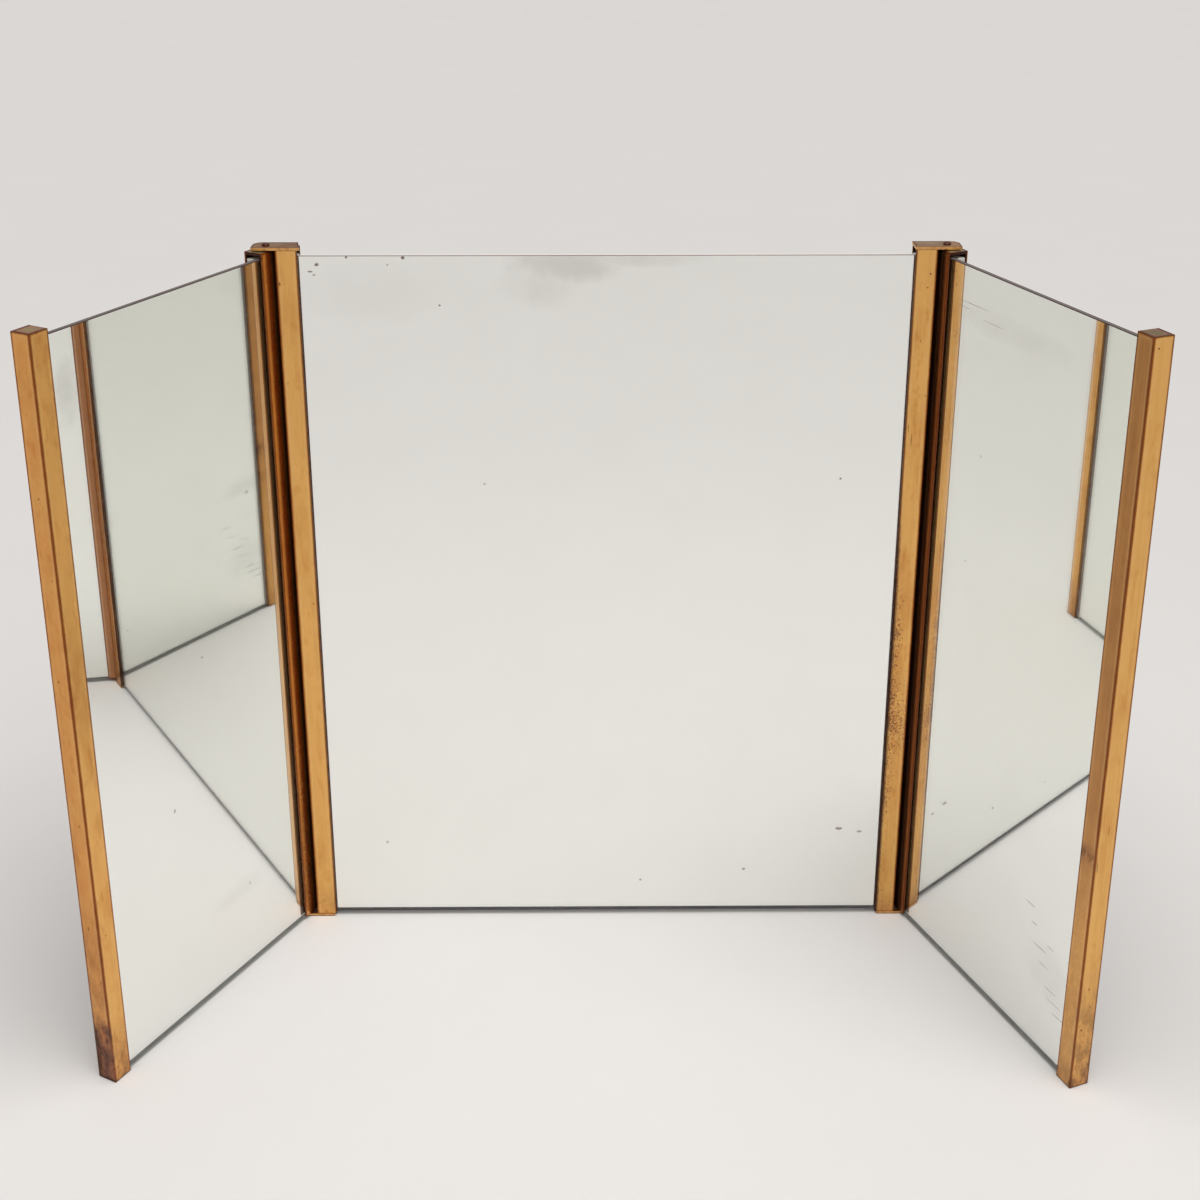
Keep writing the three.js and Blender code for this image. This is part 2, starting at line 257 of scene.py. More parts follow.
def slab(name, where, outline, z0, z1, mats, bevel=0.3, holes=(), grid=1.6, wobble=0.05, seed=0, tone=0.0, stain=None, **kw):
    """A flat plate of any plan outline with round holes: broken arrises and dense, slightly uneven faces."""
    pts = [tuple(p) for p in outline]
    if area2(pts) < 0:
        pts = pts[::-1]
    # split long straights so the rim follows the uneven faces
    dense = []
    for i in range(len(pts)):
        a, b = pts[i], pts[(i + 1) % len(pts)]
        m = max(1, int(math.hypot(b[0] - a[0], b[1] - a[1]) / (grid * 1.5)))
        dense += [(a[0] + (b[0] - a[0]) * k / m, a[1] + (b[1] - a[1]) * k / m) for k in range(m)]
    pts = dense
    nrm = poly_normals(pts)
    rings = [(bevel, z0), (bevel * 0.3, z0 + bevel * 0.3), (0.0, z0 + bevel), (0.0, (z0 + z1) / 2), (0.0, z1 - bevel),
             (bevel * 0.3, z1 - bevel * 0.3), (bevel, z1)]
    inner = [(p[0] - m.x * bevel, p[1] - m.y * bevel) for p, m in zip(pts, nrm)]
    verts, edge, holed, side_of = [], [], [], []

    def lift(x, y, z):
        if not wobble:
            return z
        d = (0.5 + 0.5 * noise.noise(Vector((x * 0.09 + seed, y * 0.09 - seed, z)))) * wobble
        e = min(1.0, border((x, y), pts) / 1.5)
        return z - d * e if z > (z0 + z1) / 2 else z

    def put(x, y, z, rim=0.0):
        side_of.append(rim)
        verts.append((x, y, lift(x, y, z)))
        edge.append(border((x, y), pts) if z > z1 - bevel * 0.9 or z < z0 + bevel * 0.9 else min(z1 - z, z - z0, 3.0) * 0.6)
        holed.append(min([math.hypot(x - hx, y - hy) - hr for hx, hy, hr in holes] or [99.0]))
        return len(verts) - 1

    ring_ids = []
    for level, (inset, z) in enumerate(rings):
        ring_ids.append([put(p[0] - m.x * inset, p[1] - m.y * inset, z, 1.0 if 0 < level < len(rings) - 1 else 0.0)
                         for p, m in zip(pts, nrm)])
    faces = []
    n = len(pts)
    for r in range(len(rings) - 1):
        for i in range(n):
            j = (i + 1) % n
            faces.append((ring_ids[r][i], ring_ids[r][j], ring_ids[r + 1][j], ring_ids[r + 1][i]))
    hole_rings = []
    hb = min(bevel, 0.25)
    for hx, hy, hr in holes:
        circle = [(hx + math.cos(2 * math.pi * k / 40), hy + math.sin(2 * math.pi * k / 40)) for k in range(40)]
        rows = []
        for rad, z in ((hr + hb, z0), (hr, z0 + hb), (hr, z1 - hb), (hr + hb, z1)):
            rows.append([put(hx + (c[0] - hx) * rad, hy + (c[1] - hy) * rad, z) for c in circle])
        for r in range(3):
            for i in range(40):
                j = (i + 1) % 40
                faces.append((rows[r][j], rows[r][i], rows[r + 1][i], rows[r + 1][j]))
        hole_rings.append(rows)
    x0, x1 = min(p[0] for p in pts), max(p[0] for p in pts)
    y0, y1 = min(p[1] for p in pts), max(p[1] for p in pts)
    for level, row in ((z0, 0), (z1, -1)):
        co = [Vector((verts[i][0], verts[i][1])) for i in ring_ids[row]]
        ids = list(ring_ids[row])
        edges = [(i, (i + 1) % n) for i in range(n)]
        for rows in hole_rings:
            base = len(co)
            ring = rows[row]
            co += [Vector((verts[i][0], verts[i][1])) for i in ring]
            ids += ring
            edges += [(base + i, base + (i + 1) % 40) for i in range(40)]
        gx, gy = max(1, int((x1 - x0) / grid)), max(1, int((y1 - y0) / grid))
        for a in range(1, gx):
            for b in range(1, gy):
                p = (x0 + (x1 - x0) * (a + 0.25 * (b % 2)) / gx, y0 + (y1 - y0) * b / gy)
                if inside(p, inner) and border(p, inner) > grid * 0.45 and all(
                        math.hypot(p[0] - hx, p[1] - hy) > hr + hb + grid * 0.45 for hx, hy, hr in holes):
                    ids.append(put(p[0], p[1], level))
                    co.append(Vector(p))
        vs, _, fs, orig, _, _ = delaunay_2d_cdt(co, edges, [], 0, 1e-5)
        names = [ids[o[0]] if o else None for o in orig]
        for f in fs:
            c = sum((Vector(vs[i]) for i in f), Vector((0, 0))) / len(f)
            if not inside(c, [tuple(q) for q in [(verts[i][0], verts[i][1]) for i in ring_ids[row]]]):
                continue
            if any(math.hypot(c.x - hx, c.y - hy) < hr + hb - 1e-3 for hx, hy, hr in holes):
                continue
            if any(names[i] is None for i in f):
                continue
            faces.append(tuple(names[i] for i in f))
    stn = [stain(*v) if stain else 0.0 for v in verts]
    return piece(name, where, verts, faces, mats, attrs={"edge": edge, "hole": holed, "tone": [tone] * len(verts), "stain": stn,
                                                           "side": side_of}, **kw)


def turned(name, where, cx, cy, profile, mats, seg=48, wobble=0.0, seed=0, **kw):
    """A piece turned about an upright axis; the profile runs from axis to axis, or is a closed ring."""
    ring = profile[0][0] > 1e-6
    verts, edge, ids = [], [], []
    for r, z in profile:
        if r < 1e-6:
            verts.append((cx, cy, z))
            ids.append([len(verts) - 1] * seg)
            edge.append(r)
            continue
        row = []
        for k in range(seg):
            q = 2 * math.pi * k / seg
            x, y = cx + r * math.cos(q), cy + r * math.sin(q)
            d = wobble * noise.noise(Vector((x * 0.4 + seed, y * 0.4, z * 0.4))) if wobble else 0.0
            verts.append((x - d * math.cos(q), y - d * math.sin(q), z - abs(d) * 0.5))
            edge.append(r)
            row.append(len(verts) - 1)
        ids.append(row)
    faces = []
    pairs = list(zip(ids, ids[1:])) + ([(ids[-1], ids[0])] if ring else [])
    for a, b in pairs:
        for k in range(seg):
            j = (k + 1) % seg
            f = []
            for v in (a[k], a[j], b[j], b[k]):
                if v not in f:
                    f.append(v)
            if len(f) > 2:
                faces.append(tuple(f))
    return piece(name, where, verts, faces, mats, attrs={"edge": edge, "tone": [0.0] * len(verts), "stain": [0.0] * len(verts)}, **kw)


def sheet_box(name, where, x0, x1, y0, y1, z0, z1, mats, bevel=0.4, cols=1, rows=1, edge_mat=0, back_mat=0, **kw):
    """A thin upright sheet with ground arrises. Its front and back faces, and its edges, can each have their own material."""
    x0, x1 = min(x0, x1), max(x0, x1)
    c = bevel
    ring = [(x0 + c, y0), (x1 - c, y0), (x1, y0 + c), (x1, y1 - c), (x1 - c, y1), (x0 + c, y1), (x0, y1 - c), (x0, y0 + c)]
    inner = [(min(max(x, x0 + c), x1 - c), y) for x, y in ring]
    verts, faces, fm = [], [], []
    levels = [(z0, [(min(max(x, x0 + c), x1 - c), min(max(y, y0 + c), y1 - c)) for x, y in ring]), (z0 + c, ring)]
    levels += [(z0 + c + (z1 - z0 - 2 * c) * i / rows, ring) for i in range(1, rows + 1)]
    levels += [(z1, levels[0][1])]
    for z, pts in levels:
        verts += [(x, y, z) for x, y in pts]
    n = 8
    for r in range(len(levels) - 1):
        for i in range(n):
            j = (i + 1) % n
            faces.append((r * n + i, r * n + j, (r + 1) * n + j, (r + 1) * n + i))
            flat = 0 < r < len(levels) - 2
            fm.append(0 if (i == 0 and flat) else (back_mat if (i == 4 and flat) else edge_mat))
    faces.append(tuple(range(n)))
    faces.append(tuple(range((len(levels) - 1) * n, len(levels) * n)))
    fm += [edge_mat, edge_mat]
    # the end faces are long octagons whose corners fall together at the bevels
    me_verts, remap = [], {}
    new_index = []
    for v in verts:
        key = (round(v[0], 5), round(v[1], 5), round(v[2], 5))
        if key not in remap:
            remap[key] = len(me_verts)
            me_verts.append(v)
        new_index.append(remap[key])
    nf, nm = [], []
    for f, m in zip(faces, fm):
        g = []
        for i in f:
            if new_index[i] not in g:
                g.append(new_index[i])
        if len(g) > 2:
            nf.append(tuple(g))
            nm.append(m)
    ez = [min(v[2] - z0, z1 - v[2], v[0] - x0, x1 - v[0]) for v in me_verts]
    return piece(name, where, me_verts, nf, mats, face_mats=nm, smooth=False,
                 attrs={"edge": ez, "tone": [0.0] * len(me_verts), "stain": [0.0] * len(me_verts)}, **kw)


# ---------------------------------------------------------------- node helpers
class Nodes:
    def __init__(self, name):
        self.m = bpy.data.materials.new(name)
        self.m.use_nodes = True
        self.t = self.m.node_tree
        self.t.nodes.clear()
        self.out = self.t.nodes.new("ShaderNodeOutputMaterial")
        self.b = self.t.nodes.new("ShaderNodeBsdfPrincipled")
        self.t.links.new(self.b.outputs[0], self.out.inputs[0])

    def _in(self, sock, v):
        if isinstance(v, bpy.types.NodeSocket):
            self.t.links.new(v, sock)
        elif v is not None:
            if hasattr(sock.default_value, "__len__") and not hasattr(v, "__len__"):
                v = (v,) * len(sock.default_value)
            if hasattr(sock.default_value, "__len__") and len(sock.default_value) == 4 and len(v) == 3:
                v = (*v, 1.0)
            sock.default_value = v

    def set(self, **kw):
        for k, v in kw.items():
            self._in(self.b.inputs[k.replace("_", " ")], v)

    def attr(self, name, out="Fac"):
        n = self.t.nodes.new("ShaderNodeAttribute")
        n.attribute_name = name
        return n.outputs[out]

    def loc(self):
        return self.attr("loc", "Vector")

    def sep(self, v):
        n = self.t.nodes.new("ShaderNodeSeparateXYZ")
        self._in(n.inputs[0], v)
        return n.outputs[0], n.outputs[1], n.outputs[2]

    def comb(self, x, y, z):
        n = self.t.nodes.new("ShaderNodeCombineXYZ")
        for s, v in zip(n.inputs, (x, y, z)):
            self._in(s, v)
        return n.outputs[0]

    def vec(self, op, a, b):
        n = self.t.nodes.new("ShaderNodeVectorMath")
        n.operation = op
        self._in(n.inputs[0], a)
        self._in(n.inputs[1], b)
        return n.outputs[0]

    def math(self, op, a, b=None, c=None, clamp=False):
        n = self.t.nodes.new("ShaderNodeMath")
        n.operation = op
        n.use_clamp = clamp
        self._in(n.inputs[0], a)
        if b is not None:
            self._in(n.inputs[1], b)
        if c is not None:
            self._in(n.inputs[2], c)
        return n.outputs[0]

    def mix(self, f, a, b, mode="MIX"):
        n = self.t.nodes.new("ShaderNodeMix")
        n.data_type = "RGBA"
        n.blend_type = mode
        self._in(n.inputs[0], f)
        self._in(n.inputs[6], a)
        self._in(n.inputs[7], b)
        return n.outputs[2]

    def ramp(self, f, stops, smooth=True):
        n = self.t.nodes.new("ShaderNodeMapRange")
        n.interpolation_type = "SMOOTHSTEP" if smooth else "LINEAR"
        (a, fa), (b, fb) = stops
        self._in(n.inputs[0], f)
        n.inputs[1].default_value, n.inputs[2].default_value = a, b
        n.inputs[3].default_value, n.inputs[4].default_value = fa, fb
        return n.outputs[0]

    def noise(self, v, scale=1.0, detail=3.0, rough=0.55, out="Fac"):
        n = self.t.nodes.new("ShaderNodeTexNoise")
        self._in(n.inputs["Vector"], v)
        n.inputs["Scale"].default_value = scale
        n.inputs["Detail"].default_value = detail
        n.inputs["Roughness"].default_value = rough
        return n.outputs[out]

    def voronoi(self, v, scale=1.0, out="Distance", feature="F1", rand=1.0):
        n = self.t.nodes.new("ShaderNodeTexVoronoi")
        n.feature = feature
        self._in(n.inputs["Vector"], v)
        n.inputs["Scale"].default_value = scale
        n.inputs["Randomness"].default_value = rand
        return n.outputs[out]

    def spots(self, x, z, marks, ragged=None, soft=(0.45, 1.25)):
        """Soft round or oval marks at places on a face; each is (x, z, half width, half height, strength)."""
        total = None
        for mx, mz, rx, rz, k in marks:
            dx = self.math("MULTIPLY", self.math("SUBTRACT", x, mx), 1.0 / rx)
            dz = self.math("MULTIPLY", self.math("SUBTRACT", z, mz), 1.0 / rz)
            d = self.math("ADD", self.math("MULTIPLY", dx, dx), self.math("MULTIPLY", dz, dz))
            if ragged is not None:
                d = self.math("ADD", d, ragged)
            m = self.ramp(d, ((soft[0], k), (soft[1], 0.0)))
            total = m if total is None else self.math("MAXIMUM", total, m)
        return total

    def bump(self, h, strength=0.3, distance=0.0001, normal=None):
        n = self.t.nodes.new("ShaderNodeBump")
        n.inputs["Strength"].default_value = strength
        n.inputs["Distance"].default_value = distance
        self._in(n.inputs["Height"], h)
        if normal is not None:
            self._in(n.inputs["Normal"], normal)
        return n.outputs[0]


# ---------------------------------------------------------------- materials
def brass(name, light, dark, shift, rough=0.24, pits=0.5, mottle=0.5, seed=0.0, marks=(), mark_face=0, grit=1.0):
    """Aged brass: lengthwise grain, cloudy tone with a per-face part that is painted shade, soft dark arrises with a
    painted highlight line beside them, pits, soft brown staining, speckled corrosion, and dirt and painted shade in the
    corners, at joints and at the foot, where they are painted. marks: dents as (across, z, half width, half height,
    strength)."""
    g = Nodes(name)
    p = g.vec("ADD", g.loc(), (seed * 131.0, seed * 57.0, seed * 977.0))
    x, y, z = g.sep(p)
    tone, edge, stain, speck, dirt_and_shade = (g.attr(k) for k in ("tone", "edge", "stain", "speck", "dirt_and_shade"))
    grain = g.noise(g.comb(g.math("MULTIPLY", x, 2.6), g.math("MULTIPLY", y, 2.6), g.math("MULTIPLY", z, 0.035)), 1.0, 4.0, 0.65)
    wide = g.noise(g.comb(g.math("MULTIPLY", x, 0.30), g.math("MULTIPLY", y, 0.30), g.math("MULTIPLY", z, 0.010)), 1.0, 3.0, 0.5)
    cloud = g.noise(p, 0.030, 4.0, 0.6)
    blotch = g.noise(g.vec("MULTIPLY", p, (1.0, 1.0, 0.4)), 0.11, 4.0, 0.62)
    fine = g.noise(p, 0.55, 4.0, 0.62)
    drift = g.noise(g.comb(g.math("MULTIPLY", x, 0.045), g.math("MULTIPLY", y, 0.045), g.math("MULTIPLY", z, 0.013)), 1.0, 4.0, 0.6)
    # body colour: tone is painted shade, each face of a channel lighter or darker for how light falls on it; the cloud
    # adds real mottling
    c = g.mix(g.ramp(g.math("ADD", tone, g.math("MULTIPLY", g.math("SUBTRACT", cloud, 0.5), mottle)), ((0.0, 0.0), (1.0, 1.0))), light, dark)
    c = g.mix(g.ramp(wide, ((0.42, 0.0), (0.72, 0.35))), c, shift)
    c = g.mix(g.ramp(drift, ((0.48, 0.0), (0.68, 0.55 * mottle))), c, g.mix(1.0, c, (0.78, 0.62, 0.50), "MULTIPLY"))
    c = g.mix(g.ramp(drift, ((0.46, 0.0), (0.34, 0.40 * mottle))), c, g.mix(1.0, c, (1.10, 1.08, 1.08), "MULTIPLY"))
    c = g.mix(g.ramp(blotch, ((0.52, 0.0), (0.70, 0.30 * mottle * 2))), c, g.mix(1.0, c, (0.80, 0.66, 0.52), "MULTIPLY"))
    c = g.mix(g.ramp(blotch, ((0.44, 0.22 * mottle * 2), (0.30, 0.0))), c, g.mix(1.0, c, (1.12, 1.10, 1.14), "MULTIPLY"))
    c = g.mix(g.ramp(grain, ((0.3, 0.0), (0.75, 0.20))), c, g.mix(1.0, c, (0.72, 0.60, 0.46), "MULTIPLY"))
    c = g.mix(g.ramp(fine, ((0.58, 0.0), (0.74, 0.18 * grit))), c, g.mix(1.0, c, (0.66, 0.52, 0.40), "MULTIPLY"))
    # arrises: dark and reddish, with a pale painted highlight line beside them
    ragged = g.math("ADD", edge, g.math("MULTIPLY", g.math("SUBTRACT", g.noise(g.vec("MULTIPLY", p, (1.0, 1.0, 0.3)), 0.16, 5.0, 0.65), 0.5), 1.5))
    wear_and_highlight = g.math("MULTIPLY", g.ramp(ragged, ((1.3, 0.0), (2.6, 0.20))), g.ramp(ragged, ((2.6, 1.0), (5.2, 0.0))))
    c = g.mix(wear_and_highlight, c, (0.86, 0.56, 0.27))
    c = g.mix(g.ramp(ragged, ((0.0, 0.0), (2.3, 1.0))), g.mix(1.0, c, (0.50, 0.30, 0.18), "MULTIPLY"), c)
    c = g.mix(g.ramp(ragged, ((0.10, 0.70), (1.1, 0.0))), c, (0.185, 0.058, 0.022))
    # pits and dents
    vd = g.voronoi(p, 0.085)
    rx, ry, rz = g.sep(g.voronoi(p, 0.085, "Color"))
    pit_r = g.math("MULTIPLY", g.ramp(rx, ((1.0 - 0.30 * pits, 0.0), (1.0, 0.11))), g.ramp(ry, ((0.0, 0.4), (1.0, 1.0))))
    pit = g.ramp(g.math("SUBTRACT", vd, pit_r), ((-0.035, 1.0), (0.012, 0.0)))
    pit = g.math("MULTIPLY", pit, g.ramp(pit_r, ((0.0, 0.0), (0.02, 1.0))))
    if marks:
        lx, ly, lz = g.sep(g.loc())
        across = ly if mark_face else lx
        pit = g.math("MAXIMUM", pit, g.spots(across, lz, marks, g.math("MULTIPLY", g.math("SUBTRACT", g.noise(p, 0.9, 3.0, 0.6), 0.5), 0.8)))
    c = g.mix(g.math("MULTIPLY", pit, 0.96, clamp=True), c, (0.060, 0.014, 0.006))
    # soft brown staining
    big = g.noise(g.vec("MULTIPLY", p, (1.0, 1.0, 0.45)), 0.10, 5.0, 0.62)
    soft = g.math("MULTIPLY", stain, g.ramp(big, ((0.28, 0.25), (0.66, 1.45))), clamp=True)
    soft = g.math("MAXIMUM", soft, g.math("MULTIPLY", g.ramp(stain, ((0.55, 0.0), (1.0, 1.0))), g.ramp(big, ((0.3, 0.80), (0.6, 1.0)))))
    c = g.mix(soft, c, g.mix(g.ramp(big, ((0.38, 0.0), (0.66, 1.0))), (0.27, 0.110, 0.070), (0.150, 0.070, 0.046)))
    smudge = g.ramp(g.noise(g.vec("MULTIPLY", p, (1.0, 1.0, 0.62)), 0.30, 4.0, 0.60), ((0.510, 0.0), (0.67, 1.0)))
    smudge = g.math("MULTIPLY", smudge, g.ramp(stain, ((0.12, 0.0), (0.55, 0.75))))
    c = g.mix(smudge, c, g.mix(1.0, c, (0.56, 0.37, 0.28), "MULTIPLY"))
    # speckled corrosion
    hit = g.math("ADD", g.math("MULTIPLY", g.noise(p, 0.62, 4.0, 0.62), 0.84), g.math("MULTIPLY", big, 0.16))
    rot = g.ramp(g.math("ADD", hit, g.math("MULTIPLY", speck, 0.212)), ((0.618, 0.0), (0.715, 1.0)))
    rot = g.math("MULTIPLY", rot, g.ramp(speck, ((0.04, 0.0), (0.22, 1.0))))
    c = g.mix(g.math("MULTIPLY", rot, 0.90), c, g.mix(fine, (0.135, 0.034, 0.019), (0.300, 0.092, 0.045)))
    # dirt, and painted shade in crevices, at the joint with the glass and along the foot
    c = g.mix(dirt_and_shade, c, g.mix(g.ramp(dirt_and_shade, ((0.55, 0.0), (0.9, 1.0))), (0.045, 0.030, 0.018), (0.022, 0.006, 0.004)))
    r = g.math("ADD", rough, g.math("MULTIPLY", g.math("SUBTRACT", fine, 0.5), 0.12))
    r = g.math("ADD", r, g.math("MULTIPLY", g.math("SUBTRACT", grain, 0.5), 0.12))
    r = g.math("ADD", r, g.math("MULTIPLY", soft, 0.14))
    r = g.math("ADD", r, g.math("MULTIPLY", rot, 0.25))
    r = g.math("ADD", r, g.math("MULTIPLY", dirt_and_shade, 0.30))
    r = g.math("ADD", r, g.math("MULTIPLY", tone, 0.08), clamp=True)
    metal = g.math("SUBTRACT", 1.0, g.math("MULTIPLY", rot, 0.45))
    h = g.math("ADD", g.math("MULTIPLY", grain, 0.30), g.math("MULTIPLY", fine, 0.16))
    h = g.math("SUBTRACT", h, g.math("MULTIPLY", pit, 1.6))
    h = g.math("SUBTRACT", h, g.math("MULTIPLY", g.math("ADD", rot, smudge), 0.5))
    nrm = g.bump(h, 0.22 * grit, 0.00004)
    nrm = g.bump(g.noise(p, 0.018, 2.0, 0.4), 0.08, 0.0016, nrm)
    g.set(Base_Color=c, Metallic=metal, Roughness=r, Normal=nrm)
    return g.m


def patina(name, mid, rim, patch, seed=0.0, side=None, rim_width=1.6, patch_at=None, end=None):
    """Plates and caps: dull brass, cloudy, reddish brown at the rim; the edges can have a colour of their own,
    near-black painted shade on the caps and feet, and darken in their lowest mm as painted contact shade.
    """
    g = Nodes(name)
    p = g.vec("ADD", g.loc(), (seed * 131.0, seed * 57.0, seed * 977.0))
    lx, ly, lz = g.sep(g.loc())
    edge, hole = g.attr("edge"), g.attr("hole")
    big = g.noise(g.vec("MULTIPLY", p, (0.55, 1.3, 1.0)), 0.10, 4.0, 0.6)
    fine = g.noise(p, 0.7, 5.0, 0.65)
    f = g.ramp(big, ((0.40, 0.0), (0.62, 1.0)))
    if patch_at is not None:
        cx, cy, rx, ry = patch_at
        dx = g.math("MULTIPLY", g.math("SUBTRACT", lx, cx), 1.0 / rx)
        dy = g.math("MULTIPLY", g.math("SUBTRACT", ly, cy), 1.0 / ry)
        near = g.ramp(g.math("ADD", g.math("MULTIPLY", dx, dx), g.math("MULTIPLY", dy, dy)), ((0.3, 0.9), (1.6, 0.05)))
        f = g.math("ADD", g.math("MULTIPLY", f, 0.35), g.math("MULTIPLY", near, 0.75), clamp=True)
    c = g.mix(f, mid, patch)
    if end is not None:
        ex0, ex1, colour = end
        c = g.mix(g.math("MULTIPLY", g.ramp(lx, ((ex0, 0.0), (ex1, 1.0))), g.ramp(big, ((0.30, 1.0), (0.75, 0.5)))), c, colour)
    e = g.math("ADD", edge, g.math("MULTIPLY", g.math("SUBTRACT", g.noise(p, 0.30, 4.0, 0.6), 0.5), rim_width * 1.2))
    c = g.mix(g.ramp(e, ((rim_width * 0.5, 0.9), (rim_width * 1.6, 0.0))), c, rim)
    c = g.mix(g.ramp(fine, ((0.50, 0.0), (0.74, 0.35))), c, g.mix(1.0, c, (0.55, 0.45, 0.38), "MULTIPLY"))
    c = g.mix(g.ramp(hole, ((0.9, 0.80), (3.0, 0.0))), c, (0.075, 0.026, 0.018))
    if side is not None:
        low = g.noise(g.vec("MULTIPLY", p, (1.0, 1.0, 0.6)), 0.16, 4.0, 0.6)
        sc_ = g.mix(g.ramp(fine, ((0.45, 0.0), (0.75, 0.5))), side, g.mix(1.0, side, (0.6, 0.45, 0.35), "MULTIPLY"))
        sc_ = g.mix(g.ramp(low, ((0.42, 0.0), (0.66, 0.65))), sc_, g.mix(1.0, side, (0.62, 0.42, 0.34), "MULTIPLY"))
        # painted contact shade: the sides darken in their lowest mm, at the floor
        sc_ = g.mix(g.ramp(lz, ((0.3, 0.85), (1.3, 0.0))), sc_, (0.10, 0.035, 0.02))
        c = g.mix(g.attr("side"), c, sc_)
    spots = g.ramp(g.noise(p, 1.1, 3.0, 0.6), ((0.67, 0.0), (0.75, 0.6)))
    c = g.mix(spots, c, (0.06, 0.022, 0.015))
    r = g.math("ADD", 0.27, g.math("MULTIPLY", fine, 0.24))
    h = g.math("ADD", g.math("MULTIPLY", fine, 0.6), g.math("MULTIPLY", big, 0.4))
    g.set(Base_Color=c, Metallic=0.92, Roughness=r, Normal=g.bump(h, 0.35, 0.00010))
    return g.m


GOLD, BROWN, WARM = (0.795, 0.450, 0.140), (0.60, 0.285, 0.090), (0.69, 0.345, 0.100)
M_POST_CL = brass("brass_left_centre", GOLD, BROWN, WARM, seed=1.0, pits=0.3, mottle=0.65,
                  marks=[(-334.0, 762.0, 1.2, 2.2, 0.7), (-319.5, 402.0, 0.9, 0.9, 0.7), (-332.0, 655.0, 0.8, 1.2, 0.5)])
M_POST_CR = brass("brass_right_centre", GOLD, BROWN, WARM, seed=2.0, pits=1.0, mottle=0.95,
                  marks=[(330.6, 771.5, 1.0, 1.0, 1.0), (328.6, 757.0, 0.9, 0.8, 0.9), (322.0, 590.0, 0.5, 9.0, 0.6), (318.0, 604.0, 0.5, 5.0, 0.6),
                         (333.5, 640.0, 0.9, 0.9, 0.6), (325.0, 700.0, 0.8, 1.4, 0.5)])
M_POST_LH = brass("brass_left_wing_inner", GOLD, BROWN, WARM, seed=3.0, rough=0.22)
# the right wing's inner upright: the same brass darkened as painted shade, for its face turned from the light beside
# the centre upright
M_SHADED_POST_RH = brass("right_wing_inner_brass_shaded", (0.41, 0.195, 0.092), (0.29, 0.13, 0.062), (0.34, 0.155, 0.072), seed=4.0, rough=0.30)
M_POST_LO = brass("brass_left_wing_outer", GOLD, (0.66, 0.285, 0.080), WARM, seed=5.0, pits=0.9, mottle=1.0,
                  marks=[(3.0, 640.0, 0.8, 1.3, 0.8), (-1.5, 560.0, 0.7, 0.9, 0.7), (5.5, 455.0, 0.9, 1.6, 0.7), (0.5, 300.0, 0.8, 1.0, 0.8),
                         (4.5, 182.0, 1.0, 3.0, 0.6), (-4.0, 120.0, 0.9, 1.4, 0.7)], mark_face=1)
M_POST_RO = brass("brass_right_wing_outer", (0.83, 0.475, 0.150), (0.465, 0.222, 0.080), WARM, seed=6.0, pits=0.9, mottle=0.6, grit=0.35,
                  marks=[(-2.4, 785.0, 1.0, 0.9, 1.0), (4.0, 300.0, 0.7, 6.0, 0.5), (-5.0, 262.0, 0.6, 7.0, 0.6), (2.0, 118.0, 0.9, 1.6, 0.8),
                         (5.5, 96.0, 0.8, 1.0, 0.8), (-2.0, 70.0, 1.4, 1.1, 0.8)], mark_face=1)
# the channels' inside faces: brass darkened to near-black as painted shade
M_CHANNEL_SHADE = brass("channel_inside_painted_shade", (0.060, 0.034, 0.018), (0.030, 0.017, 0.010), (0.05, 0.025, 0.012), seed=8.0, rough=0.55)
GOLDEN = (0.74, 0.415, 0.155)
M_PLATE_L = patina("brass_hinge_plate_left", (0.35, 0.140, 0.075), (0.13, 0.038, 0.020), (0.48, 0.320, 0.160), seed=1.3, side=GOLDEN,
                   patch_at=(-341.0, 14.0, 11.0, 6.0), end=(-348.0, -358.0, (0.48, 0.25, 0.12)))
M_PLATE_R = patina("brass_hinge_plate_right", (0.41, 0.205, 0.110), (0.15, 0.042, 0.024), (0.52, 0.365, 0.190), seed=3.3, side=GOLDEN,
                   patch_at=(328.0, 16.0, 12.0, 6.5), end=(343.0, 354.0, (0.64, 0.34, 0.17)))
# the caps' and feet's side faces are near-black: painted shade in the channels' ends
M_CAP_L = patina("brass_wing_cap_left", (0.50, 0.40, 0.185), (0.22, 0.085, 0.045), (0.66, 0.57, 0.28), seed=2.7, side=(0.07, 0.030, 0.028), rim_width=0.9)
M_CAP_R = patina("brass_wing_cap_right", (0.52, 0.42, 0.200), (0.22, 0.085, 0.045), (0.68, 0.59, 0.31), seed=6.1, side=(0.07, 0.030, 0.028), rim_width=0.9)
M_CAP_OL = patina("brass_outer_cap_left", (0.58, 0.290, 0.155), (0.27, 0.082, 0.046), (0.52, 0.390, 0.185), seed=4.1, side=(0.10, 0.04, 0.03), rim_width=1.3,
                  patch_at=(-323.0, 4.0, 6.5, 6.0))
M_CAP_OR = patina("brass_outer_cap_right", (0.45, 0.240, 0.140), (0.25, 0.076, 0.044), (0.255, 0.245, 0.095), seed=9.1, side=(0.10, 0.04, 0.03), rim_width=1.3,
                  patch_at=(324.0, 3.0, 5.5, 5.0))
M_PIN = patina("brass_pin", (0.26, 0.085, 0.060), (0.12, 0.04, 0.03), (0.36, 0.14, 0.10), seed=5.9, rim_width=0.3)
M_INNER = brass("brass_unfinished", (0.52, 0.30, 0.12), (0.30, 0.16, 0.07), (0.36, 0.18, 0.08), seed=7.0, rough=0.4)


